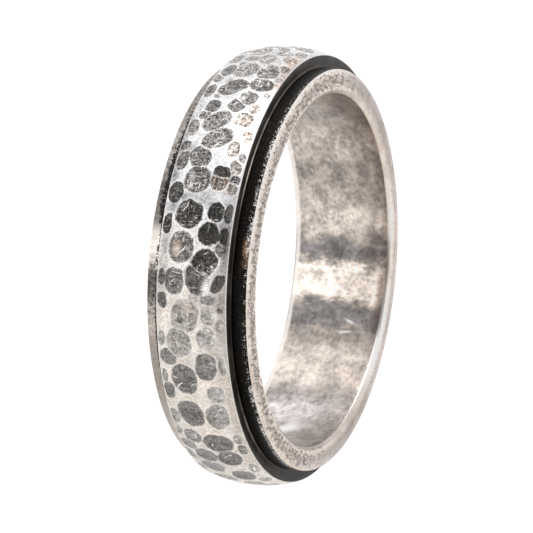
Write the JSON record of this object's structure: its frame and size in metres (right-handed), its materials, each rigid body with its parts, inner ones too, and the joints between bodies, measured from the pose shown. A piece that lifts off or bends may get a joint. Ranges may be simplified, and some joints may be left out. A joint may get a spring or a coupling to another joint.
{
  "type": "spinner ring",
  "caption": "Steel finger ring: a sleeve with flat bright rims and dark grooves, and a domed, hammered band that turns freely on it.",
  "frame": {"origin": "on the ring's axis, in the plane of the rim that it rests on", "axes": "+Z along the ring's axis, up from the surface that the ring lies on"},
  "size_m": [0.0246, 0.0246, 0.006],
  "materials": {
    "sleeve": "worn satin rims and hole, black oxide in the grooves",
    "band": "hammered, dents oxidised dark grey, ridges rubbed bright"
  },
  "bodies": {
    "sleeve": {"sleeve": "sleeve"},
    "band": {"hammered_band": "band"}
  },
  "joints": [
    {"name": "band_spin", "type": "hinge", "parent": "sleeve", "child": "band", "pos_m": [0, 0, 0.003], "axis": [0, 0, 1], "continuous": true}
  ]
}
